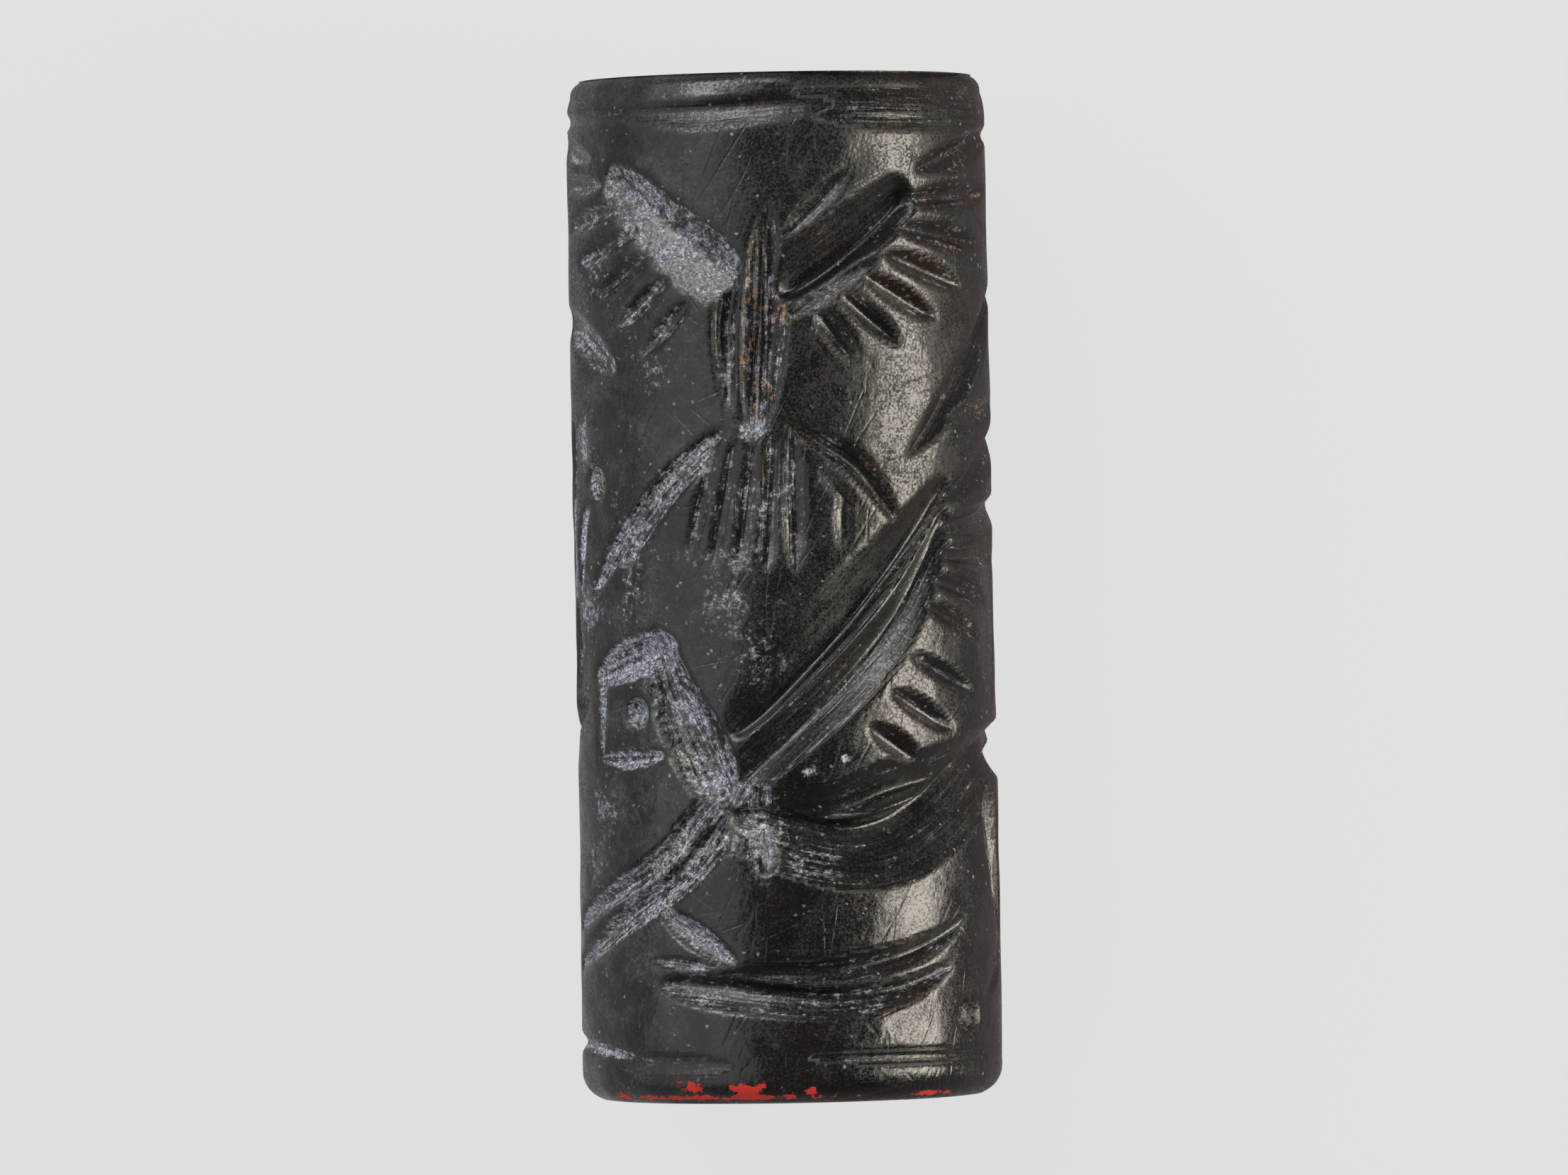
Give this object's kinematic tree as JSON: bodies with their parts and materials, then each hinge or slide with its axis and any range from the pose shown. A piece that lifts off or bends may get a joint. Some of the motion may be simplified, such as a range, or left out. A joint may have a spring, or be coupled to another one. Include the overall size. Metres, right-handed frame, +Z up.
{
  "type": "cylinder seal",
  "caption": "Small pierced stone roller whose wall is cut with winged beasts, birds and animals, to be rolled over soft clay.",
  "frame": {"origin": "on the surface that the seal lies on, under the middle of its length and width", "axes": "+Z up; +Y along the seal's bore, towards the end that is up when the carved figures stand upright; +X to the right as the figures are seen from above"},
  "size_m": [0.0112, 0.027, 0.0111],
  "materials": {
    "black_stone": "polished, worn, with pale dust in the cuts"
  },
  "bodies": {
    "root": {"seal_stone": "black_stone"}
  },
  "joints": []
}
